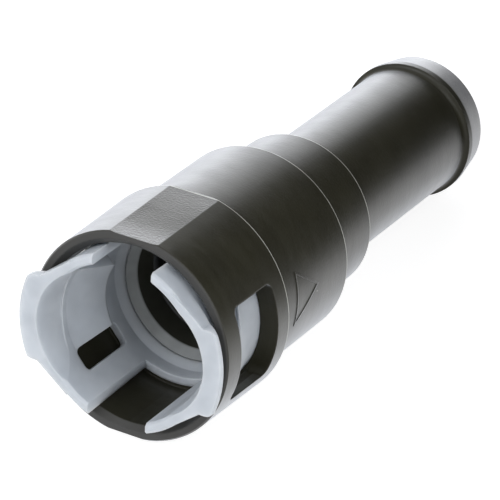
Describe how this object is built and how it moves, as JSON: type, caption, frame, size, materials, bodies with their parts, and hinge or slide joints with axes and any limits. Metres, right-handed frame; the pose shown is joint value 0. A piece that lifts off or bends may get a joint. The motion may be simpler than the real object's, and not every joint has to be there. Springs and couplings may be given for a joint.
{
  "type": "quick hose connector",
  "caption": "Straight moulded quick connector: a sealed socket with a snap retainer takes a beaded rigid tube, and a barbed stem takes a rubber hose.",
  "frame": {"origin": "on the connector's axis, in the plane of the body's mouth rim", "axes": "+X along the axis from the mouth to the tip of the hose stem, +Z through the middle of the upper flat, Y through the two finger tabs"},
  "size_m": [0.0895, 0.0332, 0.0316],
  "materials": {
    "black_nylon": "satin, glass-filled",
    "natural_nylon": "milky, satin",
    "grey_nylon": "satin",
    "seal_rubber": "matt"
  },
  "bodies": {
    "root": {"body": "black_nylon", "retainer": "natural_nylon", "seal_keeper": "grey_nylon", "front_o_ring": "seal_rubber", "seal_spacer": "grey_nylon", "rear_o_ring": "seal_rubber"}
  },
  "joints": []
}
